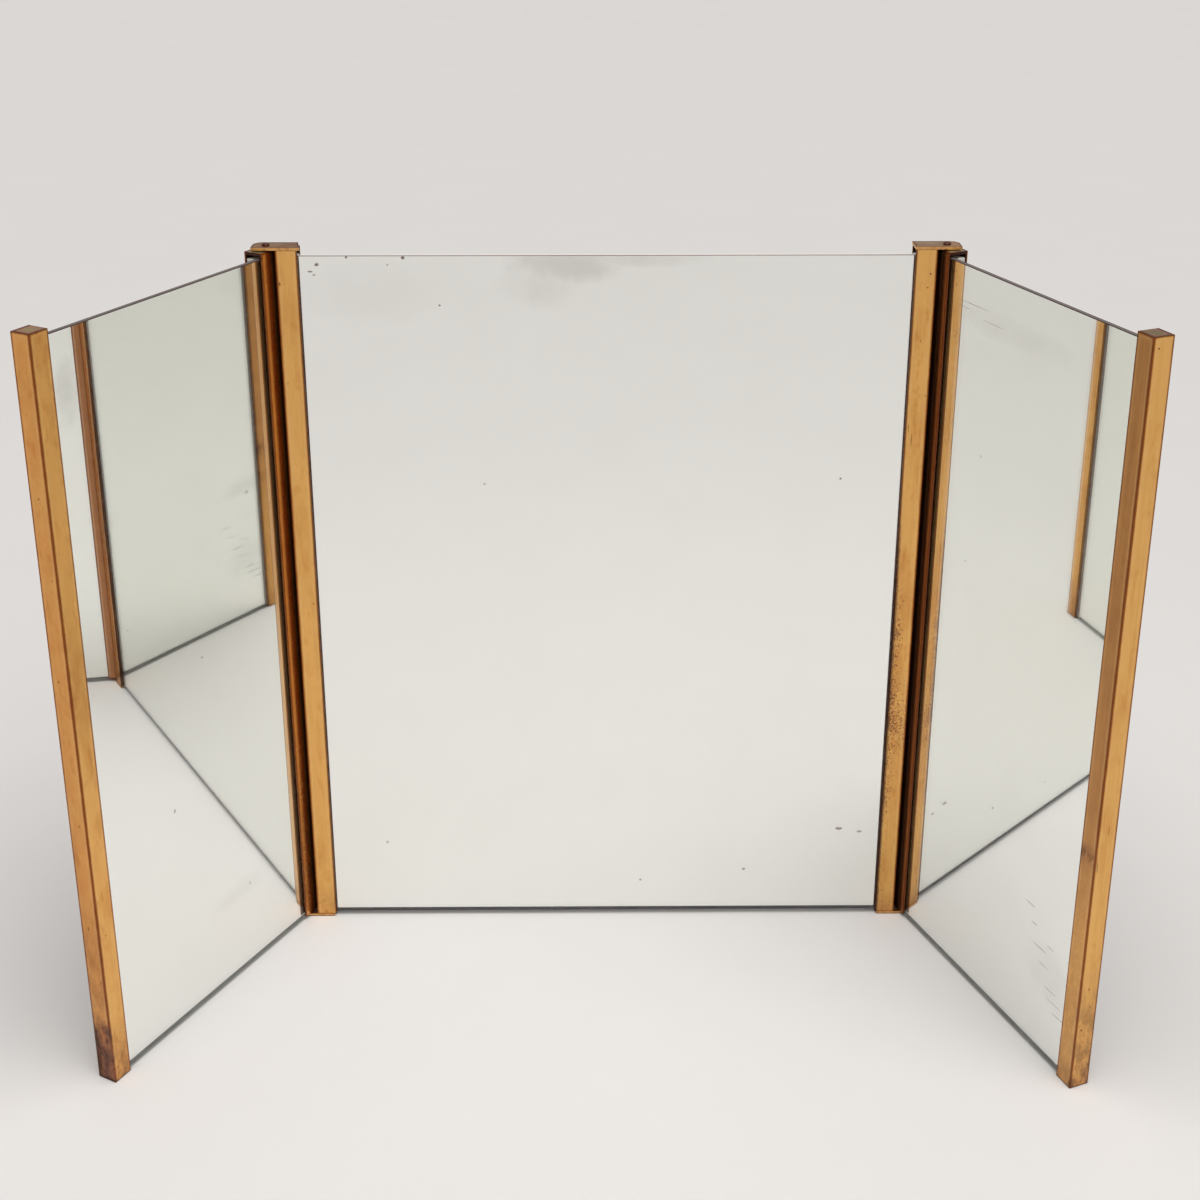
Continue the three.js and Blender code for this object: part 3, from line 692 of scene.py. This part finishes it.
def silver_mat(name, foxing, seed, x0, x1, z0, z1, brown=(), grey=()):
    """The silver behind the glass, seen from the front: clean but for small specks of foxing, faint clouds and a few placed marks."""
    g = Nodes(name)
    p = g.vec("ADD", g.loc(), (seed * 211.0, 0.0, seed * 97.0))
    px, py, pz = g.sep(g.loc())
    edge = g.math("MINIMUM", g.math("MINIMUM", g.math("SUBTRACT", px, x0), g.math("SUBTRACT", x1, px)),
                  g.math("MINIMUM", g.math("SUBTRACT", pz, z0), g.math("SUBTRACT", z1, pz)))
    c = g.mix(g.ramp(g.noise(p, 0.010, 4.0, 0.62), ((0.40, 0.0), (0.80, 0.06))), (0.945, 0.942, 0.925), (0.74, 0.72, 0.67))
    rag = g.noise(p, 0.45, 4.0, 0.7)
    # foxing specks, sparse
    vd = g.voronoi(p, 0.022)
    rx, ry, rz = g.sep(g.voronoi(p, 0.022, "Color"))
    rad = g.math("MULTIPLY", g.ramp(rx, ((1.0 - 0.25 * foxing, 0.0), (1.0, 0.030))), g.ramp(ry, ((0.0, 0.35), (1.0, 1.0))))
    spot = g.math("MULTIPLY", g.ramp(g.math("SUBTRACT", vd, rad), ((-0.010, 1.0), (0.008, 0.0))), g.ramp(rad, ((0.0, 0.0), (0.006, 1.0))))
    spot = g.math("MULTIPLY", spot, g.ramp(rag, ((0.36, 0.25), (0.56, 0.85))))
    jag = g.math("MULTIPLY", g.math("SUBTRACT", rag, 0.5), 2.4)
    if brown:
        spot = g.math("MAXIMUM", spot, g.spots(px, pz, brown, jag))
    c = g.mix(spot, c, (0.16, 0.085, 0.060))
    if grey:
        soft = g.math("MULTIPLY", g.math("SUBTRACT", g.noise(p, 0.035, 5.0, 0.62), 0.5), 2.4)
        c = g.mix(g.spots(px, pz, grey, soft, (-0.6, 1.9)), c, (0.50, 0.48, 0.45))
    rimd = g.ramp(g.math("ADD", edge, g.math("MULTIPLY", g.noise(p, 0.12, 5.0, 0.7), 3.0)), ((1.2, 0.75), (2.2, 0.0)))
    c = g.mix(rimd, c, (0.16, 0.12, 0.09))
    g.set(Base_Color=c, Metallic=1.0, Roughness=0.0)
    return g.m


def glass_mat():
    g = Nodes("mirror_glass_clear")
    p = g.loc()
    g.set(Base_Color=(0.975, 0.990, 0.975), Transmission_Weight=1.0, IOR=1.52, Roughness=0.0)
    return g.m


def ground_edge(name, top, bottom, y0, y1):
    """The ground edges of the glass. top and bottom: colours of the front arris, the middle and the back."""
    g = Nodes(name)
    p = g.loc()
    x, y, z = g.sep(p)
    f = g.noise(p, 0.8, 4.0, 0.65)
    w = g.noise(g.vec("MULTIPLY", p, (0.05, 1.0, 0.05)), 1.0, 4.0, 0.6)
    t = g.math("ADD", g.math("MULTIPLY", g.math("SUBTRACT", y, y0), 1.0 / (y1 - y0)), g.math("MULTIPLY", g.math("SUBTRACT", w, 0.5), 0.12))

    def across(cols):
        c = g.mix(g.ramp(t, ((0.22, 0.0), (0.34, 1.0))), cols[0], cols[1])
        return g.mix(g.ramp(t, ((0.70, 0.0), (0.80, 1.0))), c, cols[2])

    c = g.mix(g.ramp(z, ((300.0, 0.0), (500.0, 1.0))), across(bottom), across(top))
    c = g.mix(g.ramp(w, ((0.40, 0.0), (0.75, 0.5))), c, g.mix(1.0, c, (0.6, 0.6, 0.6), "MULTIPLY"))
    g.set(Base_Color=c, Roughness=g.math("ADD", 0.35, g.math("MULTIPLY", f, 0.3)), Specular_IOR_Level=0.15,
          Normal=g.bump(f, 0.3, 0.0001))
    return g.m


def board_mat():
    g = Nodes("hardboard_brown")
    p = g.loc()
    x, y, z = g.sep(p)
    fib = g.noise(g.vec("MULTIPLY", p, (0.9, 0.9, 0.9)), 1.0, 6.0, 0.75)
    big = g.noise(p, 0.010, 4.0, 0.6)
    c = g.mix(g.ramp(fib, ((0.3, 0.0), (0.75, 1.0))), (0.058, 0.034, 0.022), (0.125, 0.078, 0.050))
    c = g.mix(g.ramp(big, ((0.40, 0.0), (0.75, 0.28))), c, (0.155, 0.105, 0.072))
    # pale scuffs, mostly near the foot, and dust settled in the weave
    scuff = g.noise(g.vec("MULTIPLY", p, (0.22, 0.22, 0.035)), 1.0, 5.0, 0.7)
    c = g.mix(g.ramp(g.math("SUBTRACT", scuff, g.ramp(z, ((20.0, 0.0), (260.0, 0.07)))), ((0.60, 0.0), (0.72, 0.45))), c, (0.26, 0.20, 0.15))
    mesh = g.math("MULTIPLY", g.math("SINE", g.math("MULTIPLY", x, 4.4)), g.math("SINE", g.math("MULTIPLY", z, 4.4)))
    h = g.math("ADD", g.math("MULTIPLY", mesh, 0.35), fib)
    g.set(Base_Color=c, Roughness=g.math("ADD", 0.62, g.math("MULTIPLY", fib, 0.25)), Normal=g.bump(h, 0.5, 0.00018))
    return g.m


def packing_mat():
    g = Nodes("packing_pale")
    p = g.loc()
    f = g.noise(g.vec("MULTIPLY", p, (1.6, 1.6, 0.35)), 1.0, 5.0, 0.7)
    c = g.mix(f, (0.50, 0.47, 0.42), (0.72, 0.70, 0.66))
    g.set(Base_Color=c, Roughness=0.9, Normal=g.bump(f, 0.6, 0.0003))
    return g.m


def rubber_mat():
    g = Nodes("setting_block_rubber")
    p = g.loc()
    f = g.noise(p, 1.2, 4.0, 0.6)
    g.set(Base_Color=g.mix(f, (0.018, 0.017, 0.016), (0.050, 0.047, 0.044)), Roughness=g.math("ADD", 0.6, g.math("MULTIPLY", f, 0.25)),
          Normal=g.bump(f, 0.3, 0.0001))
    return g.m


def back_paint():
    g = Nodes("mirror_back_paint")
    p = g.loc()
    f = g.noise(p, 0.06, 5.0, 0.65)
    g.set(Base_Color=g.mix(f, (0.14, 0.13, 0.125), (0.22, 0.205, 0.195)), Roughness=g.math("ADD", 0.45, g.math("MULTIPLY", f, 0.25)),
          Normal=g.bump(g.noise(p, 0.8, 3.0, 0.6), 0.25, 0.0001))
    return g.m


M_GLASS = glass_mat()
DARK_EDGE = (0.045, 0.026, 0.026)
M_EDGE_W = ground_edge("glass_edge_wing", (DARK_EDGE, (0.165, 0.138, 0.130), (0.030, 0.018, 0.018)),
                       ((0.05, 0.045, 0.045), (0.55, 0.57, 0.54), (0.07, 0.07, 0.07)), F0 + 2.1, F0 + 8.1)
# the centre pane's bottom edge is near-black all across: painted shade under the glass
M_EDGE_C = ground_edge("glass_edge_centre", ((0.20, 0.13, 0.12), (0.60, 0.60, 0.58), (0.70, 0.71, 0.69)),
                       ((0.030, 0.022, 0.030), (0.050, 0.038, 0.050), (0.10, 0.09, 0.10)), 2.1, 8.1)
M_SILVER_C = silver_mat("silver_centre", 0.6, 1.0, -326.2, 326.2, 5.2, 790.6,
                        brown=[(-296.0, 781.0, 2.3, 1.8, 0.85), (-303.0, 773.5, 3.0, 1.0, 0.8), (-299.0, 770.0, 1.8, 0.9, 0.6), (-265.5, 788.6, 1.3, 1.6, 0.8),
                               (-208.0, 788.0, 1.9, 1.9, 0.85), (-224.0, 780.5, 1.2, 1.2, 0.5), (-172.0, 737.5, 1.2, 1.2, 0.8), (250.0, 545.0, 1.3, 1.3, 0.7),
                               (-130.0, 540.0, 1.4, 1.0, 0.5), (268.0, 112.0, 4.0, 2.0, 0.7), (292.0, 108.0, 3.0, 1.6, 0.6), (160.0, 58.0, 2.0, 1.6, 0.6),
                               (40.0, 44.0, 1.6, 1.4, 0.6), (-252.0, 96.0, 1.6, 1.6, 0.5)],
                        grey=[(-42.0, 780.0, 52.0, 18.0, 0.42), (-70.0, 762.0, 34.0, 26.0, 0.20), (20.0, 786.0, 70.0, 8.0, 0.28), (-250.0, 750.0, 60.0, 30.0, 0.08)])
M_SILVER_L = silver_mat("silver_left", 0.45, 2.0, -325.2, -5.8, 3.9, 789.3,
                        brown=[(-40.0, 565.0, 2.5, 1.4, 0.5), (-62.0, 552.0, 3.0, 1.2, 0.5), (-150.0, 400.0, 1.4, 1.4, 0.5), (-210.0, 250.0, 1.6, 2.4, 0.5)],
                        grey=[(-295.0, 730.0, 14.0, 30.0, 0.35), (-60.0, 560.0, 40.0, 9.0, 0.20), (-120.0, 100.0, 40.0, 12.0, 0.10)])
M_SILVER_R = silver_mat("silver_right", 0.55, 3.0, 5.8, 325.2, 3.9, 789.3,
                        brown=[(60.0, 752.0, 26.0, 0.45, 0.55), (96.0, 741.0, 20.0, 0.45, 0.45), (46.0, 746.0, 12.0, 0.4, 0.4), (240.0, 160.0, 9.0, 0.6, 0.50),
                               (262.0, 120.0, 12.0, 0.6, 0.58), (285.0, 82.0, 10.0, 0.6, 0.60), (300.0, 60.0, 12.0, 0.6, 0.52), (278.0, 130.0, 6.0, 0.6, 0.52),
                               (270.0, 104.0, 9.0, 0.6, 0.50), (292.0, 71.0, 14.0, 0.6, 0.50), (250.0, 142.0, 5.0, 0.6, 0.50), (80.0, 480.0, 1.1, 1.1, 0.6)],
                        grey=[(120.0, 742.0, 90.0, 14.0, 0.16), (280.0, 95.0, 34.0, 34.0, 0.16)])
M_PAINT, M_BOARD, M_PACKING, M_RUBBER = back_paint(), board_mat(), packing_mat(), rubber_mat()


# ---------------------------------------------------------------- centre panel
def smooth(a, b, x):
    t = max(0.0, min(1.0, (x - a) / (b - a)))
    return t * t * (3 - 2 * t)


# where each upright is stained, speckled with corrosion, dirty and darkened by painted shade: (stain, speck,
# dirt_and_shade) at a point
def marks_cr(x, y, z):
    """Right centre upright: speckled along the arris beside the glass, from a fifth of its height to half."""
    front = 1.0 if y < 2 else 0.5
    dense = math.exp(-((z - 258.0) / 58.0) ** 2)
    side = smooth(333.0, 317.0, x)
    up = smooth(90.0, 170.0, z) * smooth(480.0, 360.0, z) * (0.62 + 0.16 * noise.noise(Vector((3.0, 0.0, z * 0.02))))
    low = smooth(170.0, 60.0, z) * 0.30
    speck = front * max(side * max(up, low), dense * (0.48 + 0.34 * side))
    wear_and_highlight = smooth(560.0, 400.0, z)
    speck = max(speck, front * wear_and_highlight * smooth(319.5, 315.5, x) * 0.95)
    # dark along the arris beside the glass: dirt where it is corroded, and painted shade of the joint with the glass
    arris = smooth(316.4 + 2.8 * wear_and_highlight, 314.9, x) * smooth(1.5, 0.2, y) * (0.50 + 0.45 * wear_and_highlight)
    return 0.16 * speck + 0.30 * smooth(34.0, 0.0, z) * front, speck, arris


def marks_cl(x, y, z):
    # stained brown near the floor; a thin painted shade down the arris beside the glass, where the upright meets it
    return smooth(45.0, 3.0, z) * 0.32, 0.0, smooth(-316.0, -314.9, x) * smooth(1.5, 0.2, y) * 0.5


for side, s, mat, mplate, mk in (("left", -1.0, M_POST_CL, M_PLATE_L, marks_cl), ("right", 1.0, M_POST_CR, M_PLATE_R, marks_cr)):
    # per-face painted shade: front, web, back, inside
    loop = channel_loop(s * HALF, s * (HALF - SEC), 0.0, SEC, (0.10, 0.55, 0.55, 1.0))
    long_prism(f"{side}_centre_post_brass", "c", loop, 3.0, 797.0, [mat, M_CHANNEL_SHADE], seed=3 + s, paint=mk, ends=0.0,
               slot="brass_channel", replaces=f"{side}_centre_post")
    for level, z0, z1, front, back in (("top", 797.0, 800.0, 2.9 if s < 0 else 0.5, -1.9 if s < 0 else 0.5), ("bottom", 0.0, 3.0, -2.2, -2.2)):
        pi, po = s * (HALF - SEC), s * (HALF + 24.5)
        out = round_corners([(pi - s * front, -0.5), (po, -0.5), (po, 23.5), (pi - s * back, 23.5)],
                            [0.5, 0.9, 10.0, 0.6], 10)
        slab(f"{side}_{level}_hinge_plate_brass", "c", out, z0, z1, [mplate], bevel=0.22, holes=[(s * PIV_X, PIV_Y, 2.15)],
             seed=11 + s + (5 if level == "top" else 0), slot="brass_plate", replaces=f"{side}_{level}_hinge_plate")
        wz = 796.0 if level == "top" else 3.3
        turned(f"{side}_{level}_hinge_washer_brass", "c", s * PIV_X, PIV_Y,
               [(2.15, wz + 0.1), (2.3, wz), (4.85, wz), (5.0, wz + 0.15), (5.0, wz + 0.55), (4.85, wz + 0.7), (2.3, wz + 0.7), (2.15, wz + 0.6)],
               [M_PIN], slot="brass_plate", replaces=f"{side}_{level}_hinge_washer")

CG = 326.5
sheet_box("centre_mirror_glass_pane", "c", -CG, CG, 2.1, 8.1, 4.9, 790.9, [M_GLASS, M_EDGE_C], bevel=0.45, edge_mat=1,
          slot="mirror_glass", replaces="centre_mirror_glass")
sheet_box("centre_mirror_silvering", "c", -CG + 0.3, CG - 0.3, 7.6, 7.9, 5.2, 790.6, [M_SILVER_C, M_PAINT], bevel=0.04,
          edge_mat=1, back_mat=1, slot="mirror_glass")
sheet_box("centre_backing_hardboard", "c", -CG, CG, 8.4, 11.4, 4.9, 784.9, [M_BOARD], bevel=0.3,
          slot="backing_board", replaces="centre_backing_board")
for side, s in (("left", -1.0), ("right", 1.0)):
    a, b = sorted((s * 334.2, s * 315.3))
    sheet_box(f"centre_{side}_packing_pale", "c", a, b, 11.7, 20.4, 6.9, 788.9, [M_PACKING], bevel=0.6,
              slot="packing_strip", replaces=f"centre_{side}_packing_strip")
    a, b = sorted((s * 325.5, s * 316.0))
    sheet_box(f"centre_{side}_setting_rubber", "c", a, b, 2.1, 11.4, 3.3, 4.6, [M_RUBBER], bevel=0.3,
              slot="setting_block", replaces=f"centre_{side}_setting_block")


# ---------------------------------------------------------------- wings
def marks_lo(x, y, z):
    """Left outer upright: its foot is stained brown, most on the end face. Its lowest mm at the floor, and the end
    face's lowest 5 mm, are painted dark as contact shade; the end face also darkens towards its rear edge below about
    95 mm.
    """
    end = smooth(334.0, 335.6, abs(x))
    rear = smooth(2.0, 13.0, y) * end
    stain = max(end * smooth(112.0, 30.0, z), (1.0 - end) * smooth(75.0, 5.0, z) * 0.50, end * smooth(260.0, 60.0, z) * 0.30,
                end * rear * smooth(500.0, 0.0, z) * 0.3)
    dirt_and_shade = max(end * smooth(5.0, 0.5, z) * 0.7, rear * smooth(95.0, 12.0, z) * 0.66, smooth(1.6, 0.3, z) * 0.8)
    return stain, 0.0, dirt_and_shade


def marks_ro(x, y, z):
    end = smooth(334.0, 335.6, abs(x))
    front = smooth(-4.0, -8.0, y)
    mark = math.exp(-((z - 268.0) / 9.0) ** 2) * front * 0.55
    foot = smooth(60.0, 5.0, z)
    spot = math.exp(-((z - 5.0) / 3.0) ** 2 - ((abs(x) - 334.5) / 2.0) ** 2) * smooth(-4.0, -8.0, y)
    low = 1.0 - 0.5 * front
    # the lowest mm at the floor is painted dark as contact shade; the dark spot at the foot is a mark
    return max(foot * 0.66 * low, mark, smooth(170.0, 60.0, z) * 0.38 * low), 0.0, max(smooth(1.6, 0.3, z) * 0.8, spot * 0.95)


def wing_joint_dirt_and_shade(x, y, z, u0, u1, s):
    """Dirt and painted shade down the front face of a wing's inner upright, where it turns in beside the centre
    upright, and on its side there.
    """
    u = s * x
    front = smooth(F0 + 3.0, F0 + 0.5, y)
    side = smooth(-3.0, -4.6, u)
    edge = u0 + 0.6 * noise.noise(Vector((z * 0.05, s, 0.0)))
    return max(front * smooth(u1, edge, u), side * 0.85 * smooth(12.0, -4.0, y))


def marks_rh(x, y, z):
    wear = 0.30 * smooth(F0 + 3.0, F0, y) * smooth(12.0, 4.0, x) * (0.4 + 0.6 * smooth(620.0, 380.0, z))
    return wear, 0.0, wing_joint_dirt_and_shade(x, y, z, 4.5, 7.5, 1.0) * 0.97


def marks_lh(x, y, z):
    return 0.32 * smooth(330.0, 30.0, z), 0.0, wing_joint_dirt_and_shade(x, y, z, 0.2, 5.5, -1.0) * 0.93


for w, side in (("l", "left"), ("r", "right")):
    s = SGN[w]
    m_in, m_out, m_cap, m_capo = (M_POST_LH, M_POST_LO, M_CAP_L, M_CAP_OL) if w == "l" else (M_SHADED_POST_RH, M_POST_RO, M_CAP_R, M_CAP_OR)
    mk_in, mk_out = (marks_lh, marks_lo) if w == "l" else (marks_rh, marks_ro)
    # per-face painted shade: front, web, back, inside
    loop = channel_loop(s * WEB_H, s * OPEN_H, F0, B0, (0.15, 0.6, 0.55, 1.0))
    long_prism(f"{side}_wing_hinge_post_brass", w, loop, 4.3, 795.7, [m_in, M_CHANNEL_SHADE], seed=20 + s, paint=mk_in,
               slot="brass_channel", replaces=f"{side}_wing_hinge_post")
    # per-face painted shade; on the right wing the outer upright's front is dark and its end light, and paler lightens
    # it towards the foot
    loop = channel_loop(s * WEB_O, s * OPEN_O, F0, B0, (0.15, 0.60, 0.55, 1.0) if w == "l" else (0.86, 0.10, 0.55, 1.0))
    long_prism(f"{side}_wing_outer_post_brass", w, loop, 0.0, 795.7, [m_out, M_CHANNEL_SHADE], seed=30 + s, paint=mk_out, paler=0.0 if w == "l" else 0.55,
               slot="brass_channel", replaces=f"{side}_wing_outer_post")
    # the caps are let into the channels' ends, flush with them
    yf, yb = F0 + 1.88, B0 - 1.88
    plan_h = round_corners([(s * -3.12, yf), (s * OPEN_H, yf), (s * OPEN_H, yb), (s * -3.12, yb)], [0.3, 0.3, 0.3, 0.3], 3)
    plan_b = round_corners([(s * -3.12, yf), (s * 5.2, yf), (s * 5.2, yb), (s * -3.12, yb)], [0.3, 0.3, 0.3, 0.3], 3)
    plan_o = round_corners([(s * OPEN_O, yf), (s * 334.12, yf), (s * 334.12, yb), (s * OPEN_O, yb)], [0.3, 0.3, 0.3, 0.3], 3)
    slab(f"{side}_wing_top_cap_brass", w, plan_h, 792.7, 795.62, [m_cap], bevel=0.15, holes=[(0.0, 0.0, 2.2)], seed=41 + s,
         slot="brass_plate", replaces=f"{side}_wing_top_cap")
    slab(f"{side}_wing_bottom_cap_brass", w, plan_b, 4.38, 7.3, [m_capo], bevel=0.15, holes=[(0.0, 0.0, 2.2)], seed=43 + s,
         slot="brass_plate", replaces=f"{side}_wing_bottom_cap")
    slab(f"{side}_outer_post_top_cap_brass", w, plan_o, 792.7, 795.62, [m_capo], bevel=0.15, seed=45 + s,
         slot="brass_plate", replaces=f"{side}_outer_post_top_cap")
    slab(f"{side}_outer_post_foot_brass", w, plan_o, 0.08, 3.0, [m_capo], bevel=0.15, seed=47 + s,
         slot="brass_plate", replaces=f"{side}_outer_post_foot")
    # pins and the blocks they are fixed in
    turned(f"{side}_top_hinge_pin_brass", w, 0.0, 0.0,
           [(0.0, 770.4), (1.5, 770.4), (2.0, 770.9), (2.0, 800.3), (3.7, 800.3), (3.98, 800.42), (4.08, 800.72), (4.04, 801.05), (3.8, 801.42),
            (3.2, 801.78), (2.4, 802.02), (1.5, 802.16), (0.6, 802.22), (0.0, 802.22)],
           [M_PIN], wobble=0.06, seed=3 * s, slot="hinge_pin", replaces=f"{side}_top_hinge_pin")
    turned(f"{side}_bottom_hinge_pin_brass", w, 0.0, 0.0,
           [(0.0, 0.4), (1.7, 0.4), (2.0, 0.7), (2.0, 29.1), (1.6, 29.6), (0.0, 29.6)],
           [M_PIN], slot="hinge_pin", replaces=f"{side}_bottom_hinge_pin")
    for level, z0, z1 in (("top", 767.4, 792.3), ("bottom", 7.7, 32.6)):
        slab(f"{side}_{level}_pin_block_brass", w, round_corners([(s * -2.9, F0 + 2.1), (s * 5.2, F0 + 2.1), (s * 5.2, B0 - 2.1), (s * -2.9, B0 - 2.1)], 0.4, 3),
             z0, z1, [M_INNER], bevel=0.3, holes=[(0.0, 0.0, 2.2)], grid=3.0, wobble=0.0, slot="brass_channel", replaces=f"{side}_{level}_pin_block")
    # glass, silver, board and what holds them
    msil = M_SILVER_L if w == "l" else M_SILVER_R
    ia, ib = sorted((s * 5.5, s * 325.5))
    sheet_box(f"{side}_wing_mirror_glass_pane", w, ia, ib, F0 + 2.1, F0 + 8.1, 3.6, 789.6, [M_GLASS, M_EDGE_W], bevel=0.45, edge_mat=1,
              slot="mirror_glass", replaces=f"{side}_wing_mirror_glass")
    sheet_box(f"{side}_wing_mirror_silvering", w, ia + 0.3, ib - 0.3, F0 + 7.6, F0 + 7.9, 3.9, 789.3, [msil, M_PAINT], bevel=0.04,
              edge_mat=1, back_mat=1, slot="mirror_glass")
    sheet_box(f"{side}_wing_backing_hardboard", w, ia, ib, F0 + 8.4, F0 + 11.4, 3.6, 783.6, [M_BOARD], bevel=0.3,
              slot="backing_board", replaces=f"{side}_wing_backing_board")
    a, b = sorted((s * 5.5, s * 16.7))
    sheet_box(f"{side}_wing_hinge_packing_pale", w, a, b, 3.2, 11.9, 5.6, 788.6, [M_PACKING], bevel=0.6,
              slot="packing_strip", replaces=f"{side}_wing_hinge_packing_strip")
    a, b = sorted((s * 314.3, s * 333.2))
    sheet_box(f"{side}_wing_outer_packing_pale", w, a, b, 3.2, 11.9, 5.6, 788.6, [M_PACKING], bevel=0.6,
              slot="packing_strip", replaces=f"{side}_wing_outer_packing_strip")

# ---------------------------------------------------------------- floor, light, camera
fl = Nodes("studio_floor")
tc = fl.t.nodes.new("ShaderNodeTexCoord").outputs["Object"]
fl.set(Base_Color=fl.mix(fl.noise(tc, 3.0, 4.0, 0.55), (0.806, 0.792, 0.780), (0.834, 0.821, 0.810)), Roughness=0.75, Specular_IOR_Level=0.25)
me = bpy.data.meshes.new("studio_floor")
me.from_pydata([(-20, -20, -0.0004), (20, -20, -0.0004), (20, 20, -0.0004), (-20, 20, -0.0004)], [], [(0, 1, 2, 3)])
me.materials.append(fl.m)
floor = bpy.data.objects.new("studio_floor", me)
bpy.context.scene.collection.objects.link(floor)


def area(name, loc, aim, size, power, colour=(1, 1, 1)):
    d = bpy.data.lights.new(name, "AREA")
    d.shape, d.size, d.energy, d.color = "SQUARE", size, power, colour
    o = bpy.data.objects.new(name, d)
    o.location = loc
    o.rotation_euler = (Vector(aim) - Vector(loc)).to_track_quat("-Z", "Y").to_euler()
    bpy.context.scene.collection.objects.link(o)
    return o


sd = bpy.data.lights.new("sun_soft", "SUN")
sd.energy, sd.angle, sd.color = 1.72, math.radians(62.0), (1.0, 0.985, 0.965)
sun = bpy.data.objects.new("sun_soft", sd)
sun.rotation_euler = Vector((-0.25, 0.83, -1.45)).to_track_quat("-Z", "Y").to_euler()
bpy.context.scene.collection.objects.link(sun)
area("top_soft", (0.05, -0.15, 1.5), (0.05, -0.15, 0.0), 0.6, 4.0, (1.0, 0.99, 0.975))

world = bpy.data.worlds.new("studio")
bpy.context.scene.world = world
world.use_nodes = True
bg = world.node_tree.nodes["Background"]
bg.inputs[0].default_value = (0.955, 0.93, 0.915, 1)
bg.inputs[1].default_value = 0.43

cd = bpy.data.cameras.new("photo_camera")
cam = bpy.data.objects.new("photo_camera", cd)
bpy.context.scene.collection.objects.link(cam)
bpy.context.scene.camera = cam
cd.sensor_width = 36.0
cd.lens = 36.0 * 1807.6 / 1200.0
cd.shift_y = -0.12
cd.clip_start, cd.clip_end = 0.05, 100.0
cam.location = (-0.003, -1.650, 1.250)
cam.rotation_euler = (math.radians(90.0 - 20.701), 0.0, -math.radians(0.420))

sc = bpy.context.scene
sc.view_settings.view_transform = "Standard"
sc.view_settings.look = "None"
sc.view_settings.exposure = 0.0
sc.cycles.max_bounces = 16
sc.cycles.glossy_bounces = 8
sc.cycles.transmission_bounces = 14
sc.cycles.diffuse_bounces = 4
